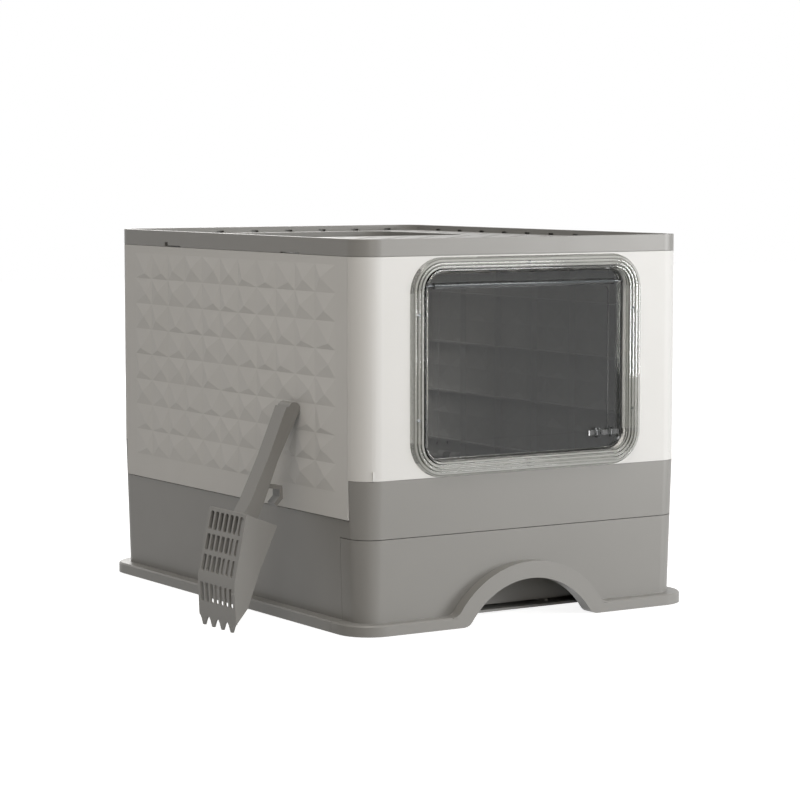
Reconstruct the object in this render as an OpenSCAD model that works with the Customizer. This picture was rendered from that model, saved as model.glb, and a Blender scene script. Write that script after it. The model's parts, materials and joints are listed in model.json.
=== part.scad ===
// Top entry litter box: white folding walls on a grey drawer base, grey lift-off lid with the
// entry opening, clear window surround with a smoked swing door, litter drawer and scoop.
// Millimetres. +Z is up, the front (window and drawer) faces -Y, the floor is z = 0.

/* [Overall] */
// Outer width across the side walls
body_w = 388; // [376:1:400]
// Outer length from the front wall to the rear wall
body_l = 510; // [490:1:530]
// Height from the floor to the lid's rim
total_h = 380; // [366:1:396]
// Plan radius of the four upright corners
corner_r = 25; // [23:0.5:28]

/* [Base] */
// Height of the seam under the folding side walls
side_seam_z = 110; // [107:1:114]
// Height of the front and rear sills
sill_z = 149; // [143:1:153]
// Wall thickness of the grey mouldings
base_t = 2.6; // [2.2:0.1:3]
// How far the skirt stands out beyond the walls
skirt_out = 9; // [7:0.5:11]
// Height of the skirt's top edge
skirt_top_z = 12; // [10:0.5:14]
// Inward lean of the base's sides from the sills down to the skirt
base_draft = 4; // [2:0.5:5]
// Length from the front face to the seam of the side walls
corner_l = 22.6; // [22:0.1:24]

/* [Drawer] */
// Height of the drawer front's top edge
drawer_top_z = 92.2; // [88:0.1:94]
// Length of the drawer front's wrap around the corners
drawer_wrap = 40; // [36:1:46]
// Radius of the arched grip opening
arch_r = 86.5; // [80:0.5:92]
// Height of the grip opening at its middle
arch_h = 43.4; // [38:0.1:50]
// Width of the raised band around the grip opening
band_w = 17; // [15:0.5:20]
// Wall thickness of the litter pan
pan_t = 2.4; // [2:0.1:3]

/* [Walls] */
// Skin thickness of the white walls
wall_t = 2.4; // [2:0.1:2.8]
// Depth of the walls' edge flanges and ribs
rib_depth = 9.5; // [8:0.5:11]
// Height of the embossed facets
facet_h = 1.5; // [1:0.25:4]
// Number of embossed facets along a side wall
facets_long = 11; // [8:1:14]
// Number of embossed facets up a side wall
facets_high = 8; // [4:1:10]

/* [Hinges] */
// Radius of the hinge pins
pin_r = 1.5; // [1.3:0.1:1.8]
// Radius of the hinge knuckles
knuckle_r = 4.2; // [3.8:0.1:4.4]

/* [Window] */
// Clear width of the window surround
window_w = 239.2; // [220:0.2:250]
// Width of the surround's ridged face
bezel_w = 18.4; // [16:0.2:20]
// Height of the ridges above the surround's plate
ridge_h = 2.3; // [1:0.1:3]
// Thickness of the smoked door
flap_t = 3; // [2.4:0.1:3.4]

/* [Lid] */
// Width of the top entry opening
entry_w = 250; // [220:2:260]
// Length of the top entry opening
entry_l = 190; // [170:1:210]
// Depth of the lid's deck below its rim
deck_drop = 6; // [4:0.5:7]
// Side of the square litter holes
hole_side = 10; // [8:0.5:12]

/* [Scoop] */
// Width of the scoop's head
scoop_w = 74; // [66:1:80]
// Wall thickness of the scoop
scoop_t = 2.2; // [1.8:0.1:2.6]

/* [Hidden] */
$fn = 64;
// facets of the rounded corners inside a hull
hull_fn = 32;
// thin slice that a hull starts and ends with
slice = 0.5;
// overshoot of cutting shapes
cut = 1;
// clearance between parts that touch
seat_gap = 0.3;
// radial clearance of pins and bolts in their bores
pin_fit = 0.05;

half_w = body_w / 2;
half_l = body_l / 2;

skirt_z0 = 1;
skirt_edge = 1.5;
foot_h = 4;
foot_r = 13;
floor_t = 2.5;
rail_h = 2.5;
rail_w = 3;
rail_x = [-165, -60, 60, 165];
seam_half = 0.2;
drawer_seam_y = -(half_l - drawer_wrap);
drawer_gap = 0.7;
side_cut_y = half_l - corner_l;

shelf_z = side_seam_z - 8.5;
shelf_in = 20;
// gap of the seam under the side walls
side_seam_gap = 0.9;

lid_h = 16.6;
lid_z = total_h - lid_h;
wall_top_z = lid_z - seat_gap;
side_wall_z0 = side_seam_z + side_seam_gap;
end_wall_z0 = sill_z + seat_gap;
side_wall_y = side_cut_y - 0.5;
end_wall_y = side_cut_y - 0.2;
tongue_in = 3;
tongue_t = 2.4;
tongue_h = 6.4;
flange_t = 2.4;

// side hinge axis: inward from the outer face, and height
side_axis_in = 8;
side_axis_z = side_seam_z + 5;
side_ears = [-165, 0, 165];
end_axis_in = 8;
end_axis_z = sill_z + 5.3;
end_ears = [-160, 160];
ear_l = 14;
knuckle_l = 12;
knuckle_gap = 0.4;
pin_l = ear_l + 2 * (knuckle_gap + knuckle_l) - 0.8;
pocket_r = knuckle_r + 0.7;
bore_r = pin_r + pin_fit;

field_y = half_l - 45;
field_z0 = side_seam_z + 26;
field_z1 = total_h - 25;
facet_l = 2 * field_y / facets_long;
facet_v = (field_z1 - field_z0) / facets_high;
rib_t = 2;
rib_in = 0.4;
ribs_y = [-3 * field_y / 3, -2 * field_y / 3, -field_y / 3, 0, field_y / 3, 2 * field_y / 3, field_y];
ribs_z = [for (k = [0 : 3]) field_z0 - 3.5 + k * (field_z1 - field_z0 + 8.5) / 4];

// finger notches under the lid's side edges, and the lift slot at the rear end of the rear ones
notch_l = 36;
notch_h = 1.2;
notch_y = 123;
lift_slot_l = 7;
lift_slot_h = 4.6;

window_z0 = sill_z + 16.6;
window_z1 = wall_top_z - 16.1;
window_r = 17;
bezel_z0 = sill_z + 0.5;
bezel_z1 = wall_top_z - 1.3;
bezel_r = 30;
bezel_t = 3;
sleeve_t = 2;
sleeve_l = 15;
hole_gap = 0.4;
window_screw_side = [[-1, 0.22], [-1, 0.78], [1, 0.22], [1, 0.78]];
window_screw_x = window_w / 2 + 9.9;
boss_r = 2.6;
window_screw_r = 1.4;
window_head_r = 3;
window_head_h = 1.6;
retainer_t = 3;

flap_axis_z = window_z1 - 13;
flap_axis_y = -half_l + 6;
flap_gap = 1.2;
flap_z0 = window_z0 + 1.6;
flap_z1 = window_z1 - 1.6;
flap_w = window_w - 2 * flap_gap;
flap_r = 15.6;
barrel_r = 3.6;
barrel_w = flap_w - 20;
flap_face_y = flap_axis_y - flap_t / 2;
flap_field = 0.8;

latch_x0 = flap_w / 2 - 40.4;
latch_x1 = flap_w / 2 - 4.4;
latch_z = flap_z0 + 14.8;
latch_h = 5;
latch_t = 2.4;
latch_y = flap_face_y - 0.2;
latch_travel = 7.5;
guide_t = 1.6;
guide_gap = 0.3;

pan_z0 = foot_h + floor_t + rail_h + seat_gap;
pan_top_z = drawer_top_z - base_t;
pan_w = body_w - 16;
pan_l = body_l - 62;
pan_y = half_l - pan_l / 2 - 15;
pan_r = 22;
pan_draft = 6;
pan_rim = 1.5;
pan_flange_t = 2.5;
drawer_screw_x = [-150, -60, 60, 150];
drawer_screw_y = drawer_seam_y + 1;
drawer_screw_r = 1.5;
drawer_head_r = 3.2;
drawer_head_h = 1.5;

// the grip opening's circle is centred below the floor
arch_z = arch_h - arch_r;
band_fillet = 11;
foot_round = 12;

rim_w = 6;
deck_t = 2.6;
deck_z = total_h - deck_drop;
entry_r = 26;
// the entry opening stands near the rear wall
entry_rear = 36;
entry_y = half_l - entry_rear - entry_l / 2;
collar_t = 2.4;
collar_z = lid_z - 1;
// slots at the foot of the lid's rim that let swept litter fall back
sweep_pitch = 44.5;
sweep_x = [for (k = [-4 : 3]) (k + 0.5) * sweep_pitch];
sweep_y = [for (k = [-5 : 4]) 12 + k * sweep_pitch];
sweep_l = 9;
sweep_h = 1.9;
sweep_in = 2.5;

scoop_y = -133;
// the handle leans into the low edge of a facet
scoop_gap = 0.38 * facet_h + 0.3;

// ---------------------------------------------------------------- shared shapes

// Rectangle with rounded corners, centred on the origin
module rounded_rect(w, l, r) {
    square([w - 2 * r, l], center = true);
    square([w, l - 2 * r], center = true);
    for (sx = [-1, 1])
        for (sy = [-1, 1])
            translate([sx * (w / 2 - r), sy * (l / 2 - r)])
                circle(r = r);
}

// Upright slab with the box's plan outline, set in from it by "inset"
module plan_slab(inset, z0, z1) {
    translate([0, 0, z0])
        linear_extrude(height = z1 - z0)
            rounded_rect(body_w - 2 * inset, body_l - 2 * inset, corner_r - inset);
}

// Upright ring between two insets of the plan outline
module plan_ring(inset0, inset1, z0, z1) {
    difference() {
        plan_slab(inset0, z0, z1);
        plan_slab(inset1, z0 - cut, z1 + cut);
    }
}

// Inset of the leaning base sides at height z
function lean(z) = base_draft * (sill_z - z) / (sill_z - skirt_top_z);

// Block with the base's leaning sides
module leaning_block(inset, z0, z1) {
    hull($fn = hull_fn) {
        plan_slab(inset + lean(z0), z0, z0 + slice);
        plan_slab(inset + lean(z1), z1 - slice, z1);
    }
}

// Everything in front of a given y, or behind it
module front_of(y) {
    translate([-2 * body_w, y - 2 * body_l, -body_l])
        cube([4 * body_w, 2 * body_l, 2 * body_l]);
}
module behind(y) {
    translate([-2 * body_w, y, -body_l])
        cube([4 * body_w, 2 * body_l, 2 * body_l]);
}

// Box from two opposite corners
module box(lo, hi) {
    translate(lo)
        cube(hi - lo);
}

// Flat outline in x and z pushed from y0 (front) to y1 (rear)
module upright(y0, y1) {
    translate([0, y1, 0])
        rotate([90, 0, 0])
            linear_extrude(height = y1 - y0)
                children();
}

// Cylinder along X or along Y, centred
module rod_x(r, l) {
    rotate([0, 90, 0])
        cylinder(r = r, h = l, center = true);
}
module rod_y(r, l) {
    rotate([90, 0, 0])
        cylinder(r = r, h = l, center = true);
}

// ---------------------------------------------------------------- base

// Skirt and leaning shell up to a given height, closed on top, open below
module lower_shell(top_z) {
    difference() {
        union() {
            leaning_block(0, skirt_z0, top_z);
            hull($fn = hull_fn) {
                plan_slab(-skirt_out, skirt_z0, skirt_top_z - skirt_edge);
                plan_slab(-skirt_out + skirt_edge, skirt_top_z - slice, skirt_top_z);
            }
        }
        leaning_block(base_t, -cut, top_z - base_t);
        // hollow under the skirt
        plan_ring(-skirt_out + base_t, base_draft, -cut, skirt_top_z - base_t);
    }
}

// Bearing block for one side-wall pin, standing on the shelf; x is the left axis
module side_ear() {
    rod_y(knuckle_r, ear_l);
    box([-knuckle_r, -ear_l / 2, -side_axis_z + side_seam_z - 1], [knuckle_r, ear_l / 2, 0]);
    box([-side_axis_in + 3, -ear_l / 2, shelf_z + 1 - side_axis_z],
        [knuckle_r, ear_l / 2, side_seam_z - side_axis_z - 0.1]);
}

// Bearing block for one end-wall pin, standing on the sill
module end_ear() {
    rod_x(knuckle_r, ear_l);
    box([-ear_l / 2, -knuckle_r, sill_z - 1 - end_axis_z], [ear_l / 2, knuckle_r, 0]);
}

module base_housing() {
    difference() {
        union() {
            difference() {
                lower_shell(sill_z);
                // openings above the side seams and in front for the drawer
                box([-body_w, -side_cut_y, side_seam_z], [body_w, side_cut_y, sill_z + cut]);
                box([-body_w, -body_l, -cut],
                    [body_w, drawer_seam_y + seam_half, drawer_top_z + drawer_gap]);
            }
            // inner faces of the two sills
            for (s = [-1, 1])
                box([-half_w + 3, s * (side_cut_y + base_t / 2) - base_t / 2, drawer_top_z + drawer_gap],
                    [half_w - 3, s * (side_cut_y + base_t / 2) + base_t / 2, sill_z - 1]);
            // floor and the rails that carry the pan
            intersection() {
                plan_slab(base_draft + 1.5, foot_h, foot_h + floor_t);
                behind(drawer_seam_y + seam_half);
            }
            for (x = rail_x)
                box([x - rail_w / 2, drawer_seam_y + 10, foot_h + floor_t - 0.5],
                    [x + rail_w / 2, half_l - 20, foot_h + floor_t + rail_h]);
            // shelves with the bearings of the side walls
            for (s = [-1, 1]) {
                box([s * (half_w - shelf_in / 2 - 2) - shelf_in / 2 + 1, -side_cut_y - 1, shelf_z],
                    [s * (half_w - shelf_in / 2 - 2) + shelf_in / 2 - 1, side_cut_y + 1, shelf_z + base_t]);
                for (y = side_ears)
                    translate([s * (half_w - side_axis_in), y, side_axis_z])
                        mirror([s > 0 ? 1 : 0, 0, 0])
                            side_ear();
                for (x = end_ears)
                    translate([x, s * (half_l - end_axis_in), end_axis_z])
                        end_ear();
            }
        }
        for (s = [-1, 1]) {
            for (y = side_ears)
                translate([s * (half_w - side_axis_in), y, side_axis_z])
                    rod_y(bore_r, ear_l + 2 * cut);
            for (x = end_ears)
                translate([x, s * (half_l - end_axis_in), end_axis_z])
                    rod_x(bore_r, ear_l + 2 * cut);
        }
    }
}

module rubber_feet() {
    for (p = [[-160, -190], [160, -190], [-160, 225], [160, 225], [0, 0]])
        translate([p[0], p[1], 0]) {
            cylinder(r1 = foot_r - 1, r2 = foot_r, h = 1);
            translate([0, 0, 1])
                cylinder(r = foot_r, h = foot_h - 1);
        }
}

// ---------------------------------------------------------------- drawer

// Distance along x at which a circle of radius r, centred on height z, touches the arch from outside
function touch_x(arch, r, z) = sqrt(pow(arch + r, 2) - pow(z - arch_z, 2));

// Raised band: a ring about the arch that runs out into the skirt with a fillet
module band_outline() {
    band_r = arch_r + band_w;
    fz = skirt_top_z + band_fillet;
    fx = touch_x(band_r, band_fillet, fz);
    k = band_r / (band_r + band_fillet);
    difference() {
        union() {
            translate([0, arch_z])
                circle(r = band_r, $fn = 160);
            for (s = [-1, 1])
                polygon([[s * fx * k, arch_z + (fz - arch_z) * k], [s * fx, skirt_top_z],
                         [s * fx, skirt_top_z - 1], [s * (fx - 20), skirt_top_z - 1]]);
        }
        for (s = [-1, 1])
            translate([s * fx, fz])
                circle(r = band_fillet);
        // nothing below the skirt's lower edge
        translate([-body_w, -body_w + skirt_z0])
            square([2 * body_w, body_w]);
    }
}

// Grip opening with rounded feet
module grip_outline() {
    rz = skirt_z0 + foot_round;
    rx = touch_x(arch_r, foot_round, rz);
    k = arch_r / (arch_r + foot_round);
    translate([0, arch_z])
        circle(r = arch_r, $fn = 160);
    difference() {
        for (s = [-1, 1])
            polygon([[s * rx * k, arch_z + (rz - arch_z) * k], [s * rx, skirt_z0],
                     [s * rx, skirt_z0 - 2], [s * (rx - 25), skirt_z0 - 2],
                     [s * (rx - 25), arch_z + (rz - arch_z) * k]]);
        for (s = [-1, 1])
            translate([s * rx, rz])
                circle(r = foot_round);
    }
}

module drawer_front() {
    difference() {
        union() {
            intersection() {
                lower_shell(drawer_top_z);
                front_of(drawer_seam_y - seam_half);
            }
            // flange that lies on the pan
            box([-pan_w / 2, drawer_seam_y - 2, pan_top_z],
                [pan_w / 2, pan_y - pan_l / 2 + 5, drawer_top_z]);
            upright(-half_l - skirt_out, -half_l + base_draft)
                band_outline();
        }
        upright(-half_l - skirt_out - cut, drawer_seam_y - 5)
            grip_outline();
        for (x = drawer_screw_x)
            translate([x, drawer_screw_y, pan_top_z - cut]) {
                cylinder(r = drawer_screw_r + 0.3, h = base_t + 2 * cut);
                translate([0, 0, cut + base_t - drawer_head_h - 0.1])
                    cylinder(r = drawer_head_r + 0.2, h = drawer_head_h + cut);
            }
    }
}

// Rounded block of the pan's plan outline
module pan_slab(inset, z0, z1) {
    translate([0, pan_y, z0])
        linear_extrude(height = z1 - z0)
            rounded_rect(pan_w - 2 * inset, pan_l - 2 * inset, pan_r - inset);
}

module litter_pan() {
    difference() {
        union() {
            hull($fn = hull_fn) {
                pan_slab(pan_draft, pan_z0, pan_z0 + slice);
                pan_slab(0, pan_top_z - slice, pan_top_z);
            }
            pan_slab(-pan_rim, pan_top_z - pan_flange_t, pan_top_z);
            // front flange and screw bosses
            box([-pan_w / 2 + pan_r, pan_y - pan_l / 2 - 12, pan_top_z - pan_flange_t],
                [pan_w / 2 - pan_r, pan_y - pan_l / 2 + 1, pan_top_z]);
            for (x = drawer_screw_x)
                translate([x, drawer_screw_y, pan_top_z - 9])
                    cylinder(r = 4, h = 8);
        }
        hull($fn = hull_fn) {
            pan_slab(pan_draft + pan_t, pan_z0 + pan_t, pan_z0 + pan_t + slice);
            pan_slab(pan_t, pan_top_z, pan_top_z + slice);
        }
        for (x = drawer_screw_x)
            translate([x, drawer_screw_y, pan_top_z - 9 - cut])
                cylinder(r = drawer_screw_r + pin_fit, h = 9 + 2 * cut);
    }
}

module drawer_screws() {
    for (x = drawer_screw_x)
        translate([x, drawer_screw_y, 0]) {
            translate([0, 0, drawer_top_z - 0.1 - drawer_head_h])
                cylinder(r = drawer_head_r, h = drawer_head_h);
            translate([0, 0, pan_top_z - 8])
                cylinder(r = drawer_screw_r, h = base_t + 7);
        }
}

// ---------------------------------------------------------------- walls

// Apex of facet (i, j), as fractions of its length and height
function apex_y(i, j) = 0.5 + 0.22 * sin(97 * i + 61 * j);
function apex_z(i, j) = 0.36 + 0.16 * sin(53 * i + 113 * j + 40);

// Embossed skin of the left wall; x is measured inward from its outer face
module embossed_skin() {
    cols = facets_long + 1;
    rows = facets_high + 1;
    corners = [for (j = [0 : rows - 1]) for (i = [0 : cols - 1])
        [0, -field_y + i * facet_l, field_z0 + j * facet_v]];
    tips = [for (j = [0 : facets_high - 1]) for (i = [0 : facets_long - 1])
        [-facet_h, -field_y + (i + apex_y(i, j)) * facet_l, field_z0 + (j + apex_z(i, j)) * facet_v]];
    outer = concat(corners, tips);
    inner = [for (p = outer) p + [wall_t, 0, 0]];
    n = len(outer);
    nc = len(corners);
    outer_faces = [for (j = [0 : facets_high - 1]) for (i = [0 : facets_long - 1])
        let (a = j * cols + i, b = a + 1, c = b + cols, d = a + cols, t = nc + j * facets_long + i)
        each [[a, b, t], [b, c, t], [c, d, t], [d, a, t]]];
    inner_faces = [for (f = outer_faces) [f[2] + n, f[1] + n, f[0] + n]];
    last = (rows - 1) * cols;
    rim = concat(
        [for (i = [0 : cols - 2]) [i, i + n, i + 1 + n, i + 1]],
        [for (i = [0 : cols - 2]) [last + i, last + i + 1, last + i + 1 + n, last + i + n]],
        [for (j = [0 : rows - 2]) [j * cols, (j + 1) * cols, (j + 1) * cols + n, j * cols + n]],
        [for (j = [0 : rows - 2])
            [j * cols + cols - 1, j * cols + cols - 1 + n, (j + 1) * cols + cols - 1 + n,
             (j + 1) * cols + cols - 1]]);
    polyhedron(points = concat(outer, inner), faces = concat(outer_faces, inner_faces, rim));
}

// Left wall with its outer face on x = 0 and its inside towards +X
module side_wall() {
    difference() {
        union() {
            difference() {
                box([0, -side_wall_y, side_wall_z0], [wall_t, side_wall_y, wall_top_z]);
                box([-cut, -field_y, field_z0], [wall_t + cut, field_y, field_z1]);
            }
            embossed_skin();
            // edge flanges
            for (s = [-1, 1])
                box([rib_in, s * (side_wall_y - flange_t / 2) - flange_t / 2, side_wall_z0],
                    [rib_depth, s * (side_wall_y - flange_t / 2) + flange_t / 2, wall_top_z]);
            box([rib_in, -side_wall_y, side_wall_z0], [rib_depth, side_wall_y, side_wall_z0 + flange_t]);
            box([rib_in, -side_wall_y, wall_top_z - flange_t], [rib_depth, side_wall_y, wall_top_z]);
            // ribs behind the skin
            for (y = ribs_y)
                box([rib_in, y - rib_t / 2, side_wall_z0 + 1], [rib_depth, y + rib_t / 2, wall_top_z - 1]);
            for (z = ribs_z)
                box([rib_in, -side_wall_y + 1, z - rib_t / 2], [rib_depth, side_wall_y - 1, z + rib_t / 2]);
            // tongue inside the lid's skirt
            difference() {
                box([tongue_in, -side_wall_y + 7, wall_top_z - 1],
                    [tongue_in + tongue_t, side_wall_y - 7, wall_top_z + tongue_h]);
                for (s = [-1, 1])
                    box([0, s * notch_y - notch_l / 2, wall_top_z], [rib_depth, s * notch_y + notch_l / 2, total_h]);
            }
            // knuckles beside each bearing
            for (y = side_ears)
                for (s = [-1, 1])
                    translate([side_axis_in, y + s * (ear_l / 2 + knuckle_gap + knuckle_l / 2), side_axis_z]) {
                        rod_y(knuckle_r, knuckle_l);
                        box([-side_axis_in + 1, -knuckle_l / 2, -knuckle_r], [0, knuckle_l / 2, knuckle_r]);
                    }
        }
        for (y = side_ears)
            translate([side_axis_in, y, side_axis_z]) {
                // room for the bearing, cut behind the skin only
                difference() {
                    union() {
                        rod_y(pocket_r, ear_l + 2 * knuckle_gap);
                        box([-pocket_r, -ear_l / 2 - knuckle_gap, -2 * pocket_r],
                            [pocket_r, ear_l / 2 + knuckle_gap, 0]);
                    }
                    box([-side_axis_in - cut, -ear_l, -3 * pocket_r], [-side_axis_in + wall_t, ear_l, 3 * pocket_r]);
                }
                rod_y(bore_r, pin_l + 4);
            }
    }
}

module left_wall() {
    translate([-half_w, 0, 0])
        side_wall();
}

module right_wall() {
    translate([half_w, 0, 0])
        mirror([1, 0, 0])
            side_wall();
}

// Front wall without its window: skin with rounded returns, flanges, tongue and knuckles
module end_wall() {
    end_depth = 9;
    difference() {
        union() {
            intersection() {
                union() {
                    plan_ring(0, wall_t, end_wall_z0, wall_top_z);
                    plan_ring(rib_in, end_depth, end_wall_z0, end_wall_z0 + flange_t);
                    plan_ring(rib_in, end_depth, wall_top_z - flange_t, wall_top_z);
                    plan_ring(tongue_in, tongue_in + tongue_t, wall_top_z - 1, wall_top_z + tongue_h);
                }
                front_of(-end_wall_y);
            }
            // closed edges of the returns
            intersection() {
                plan_ring(rib_in, end_depth, end_wall_z0, wall_top_z);
                front_of(-end_wall_y);
                behind(-end_wall_y - flange_t);
            }
            for (x = end_ears)
                for (s = [-1, 1])
                    translate([x + s * (ear_l / 2 + knuckle_gap + knuckle_l / 2),
                               -half_l + end_axis_in, end_axis_z]) {
                        rod_x(knuckle_r, knuckle_l);
                        box([-knuckle_l / 2, -end_axis_in + 1, -knuckle_r], [knuckle_l / 2, 0, knuckle_r]);
                    }
        }
        for (x = end_ears)
            translate([x, -half_l + end_axis_in, end_axis_z]) {
                box([-ear_l / 2 - knuckle_gap, -end_axis_in + wall_t, -2 * pocket_r],
                    [ear_l / 2 + knuckle_gap, 2 * pocket_r, pocket_r]);
                rod_x(bore_r, pin_l + 4);
            }
    }
}

module rear_wall() {
    mirror([0, 1, 0])
        end_wall();
}

module front_wall() {
    difference() {
        end_wall();
        upright(-half_l - cut, -half_l + wall_t + cut)
            surround_outline(0, sleeve_t + hole_gap);
        at_window_screws()
            rod_y(boss_r + 0.2, 4 * wall_t);
    }
}

module side_hinge_pins(s) {
    for (y = side_ears)
        translate([s * (half_w - side_axis_in), y, side_axis_z])
            rod_y(pin_r, pin_l);
}

module end_hinge_pins(s) {
    for (x = end_ears)
        translate([x, s * (half_l - end_axis_in), end_axis_z])
            rod_x(pin_r, pin_l);
}

module left_hinge_pins() {
    side_hinge_pins(-1);
}

module right_hinge_pins() {
    side_hinge_pins(1);
}

module front_hinge_pins() {
    end_hinge_pins(-1);
}

module rear_hinge_pins() {
    end_hinge_pins(1);
}

// ---------------------------------------------------------------- window

// Outline of the surround: f = 0 is its clear opening, f = 1 its outer edge; grown by "more"
module surround_outline(f, more) {
    z0 = window_z0 + f * (bezel_z0 - window_z0) - more;
    z1 = window_z1 + f * (bezel_z1 - window_z1) + more;
    translate([0, (z0 + z1) / 2])
        rounded_rect(window_w + 2 * f * bezel_w + 2 * more, z1 - z0,
                     window_r + f * (bezel_r - window_r) + more);
}

// Ring of the surround's face between two such outlines
module surround_ring(f0, f1) {
    difference() {
        surround_outline(f1, 0);
        surround_outline(f0, 0);
    }
}

// Places a shape on the wall at every screw of the window
module at_window_screws() {
    for (p = window_screw_side)
        translate([p[0] * window_screw_x, -half_l + wall_t, window_z0 + p[1] * (window_z1 - window_z0)])
            children();
    for (z = [window_z0 - 8.1, window_z1 + 7.5])
        translate([0, -half_l + wall_t, z])
            children();
}

module window_bezel() {
    ridge_f = [0.16, 0.38, 0.6, 0.82];
    difference() {
        union() {
            upright(-half_l - bezel_t, -half_l)
                surround_ring(0, 1);
            for (f = ridge_f) {
                upright(-half_l - bezel_t - ridge_h / 2, -half_l - bezel_t)
                    surround_ring(f - 0.08, f + 0.08);
                upright(-half_l - bezel_t - ridge_h, -half_l - bezel_t)
                    surround_ring(f - 0.04, f + 0.04);
            }
            // sleeve through the wall
            upright(-half_l - bezel_t, -half_l + sleeve_l)
                difference() {
                    surround_outline(0, sleeve_t);
                    surround_outline(0, 0);
                }
            at_window_screws()
                translate([0, -wall_t / 2 - 0.5, 0])
                    rod_y(boss_r, wall_t + 1);
        }
        at_window_screws()
            translate([0, -2.2, 0])
                rod_y(window_screw_r + pin_fit, 4.6);
        translate([0, flap_axis_y, flap_axis_z])
            rod_x(bore_r, window_w + 2 * sleeve_t + cut);
        // keep for the door's bolt
        box([window_w / 2 - cut, latch_y - latch_t - 0.3, latch_z - latch_h / 2 - 0.3],
            [window_w / 2 + sleeve_t + cut, latch_y + 0.3, latch_z + latch_h / 2 + 0.3]);
    }
}

module window_retainer() {
    z0 = end_wall_z0 + flange_t + 0.6;
    z1 = wall_top_z - flange_t - 1.5;
    difference() {
        upright(-half_l + wall_t, -half_l + wall_t + retainer_t)
            difference() {
                translate([0, (z0 + z1) / 2])
                    rounded_rect(window_w + 30, z1 - z0, bezel_r - 2);
                surround_outline(0, sleeve_t + hole_gap);
            }
        at_window_screws()
            rod_y(window_screw_r + 0.3, 4 * retainer_t);
    }
}

module window_screws() {
    at_window_screws() {
        translate([0, retainer_t + window_head_h / 2, 0])
            rod_y(window_head_r, window_head_h);
        translate([0, retainer_t / 2 - 2, 0])
            rod_y(window_screw_r, retainer_t + 4);
    }
}

module flap_pin() {
    translate([0, flap_axis_y, flap_axis_z])
        rod_x(pin_r, window_w + sleeve_t - 0.6);
}

module window_flap() {
    guide_y = latch_y - latch_t - guide_gap - guide_t;
    difference() {
        union() {
            upright(flap_face_y, flap_face_y + flap_t)
                translate([0, (flap_z0 + flap_z1) / 2])
                    rounded_rect(flap_w, flap_z1 - flap_z0, flap_r);
            translate([0, flap_axis_y, flap_axis_z])
                rod_x(barrel_r, barrel_w);
            // two bridges that guide the bolt
            for (x = [latch_x0 + 8, latch_x1 - 10])
                difference() {
                    box([x, guide_y, latch_z - latch_h / 2 - 2.5],
                        [x + 3, flap_axis_y, latch_z + latch_h / 2 + 2.5]);
                    box([x - cut, guide_y + guide_t, latch_z - latch_h / 2 - guide_gap],
                        [x + 3 + cut, flap_face_y, latch_z + latch_h / 2 + guide_gap]);
                }
            // nubs at the lower left
            for (x = [-latch_x1 + 11, -latch_x1 + 23])
                translate([x, flap_face_y, latch_z])
                    rod_y(1.6, 2);
        }
        // sunken middle field
        upright(flap_face_y - cut, flap_face_y + flap_field)
            translate([0, (flap_z0 + flap_z1) / 2])
                rounded_rect(flap_w - 33, flap_z1 - flap_z0 - 32, 6);
        translate([0, flap_axis_y, flap_axis_z])
            rod_x(bore_r, flap_w + 2 * cut);
    }
}

module flap_latch() {
    box([latch_x0, latch_y - latch_t, latch_z - latch_h / 2], [latch_x1, latch_y, latch_z + latch_h / 2]);
    box([latch_x0 + 12.5, latch_y - latch_t - 2.4, latch_z - latch_h / 2],
        [latch_x0 + 17, latch_y, latch_z + latch_h / 2]);
}

// ---------------------------------------------------------------- lid

// Square litter holes on a staggered lattice
module litter_holes() {
    pitch = 2 * hole_side;
    first_row = -half_l + 35;
    front_rows = floor((entry_y - entry_l / 2 - hole_side - first_row) / pitch);
    side_rows = floor((half_l - 20 - first_row) / pitch);
    for (k = [0 : front_rows])
        for (i = [-4 : 4 - k % 2])
            translate([(i * 2 + k % 2) * pitch, first_row + k * pitch])
                square(hole_side, center = true);
    for (k = [front_rows + 1 : side_rows])
        for (s = [-1, 1])
            translate([s * (entry_w / 2 + (k % 2 > 0 ? 22 : 42)), first_row + k * pitch])
                square(hole_side, center = true);
    for (x = [-100, -60, -20, 20, 60, 100])
        translate([x, entry_y + entry_l / 2 + 18])
            square(hole_side, center = true);
}

// Sweep slots around the foot of the rim, cut down through the deck
module sweep_slots() {
    along = [-sweep_l / 2, sweep_l / 2];
    across = [-sweep_in, rim_w - base_t];
    up = [deck_z - deck_t - cut, deck_z + sweep_h];
    for (x = sweep_x)
        for (s = [0, 1])
            mirror([0, s, 0])
                translate([x, half_l - rim_w, 0])
                    box([along[0], across[0], up[0]], [along[1], across[1], up[1]]);
    for (y = sweep_y)
        for (s = [0, 1])
            mirror([s, 0, 0])
                translate([half_w - rim_w, y, 0])
                    box([across[0], along[0], up[0]], [across[1], along[1], up[1]]);
}

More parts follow.
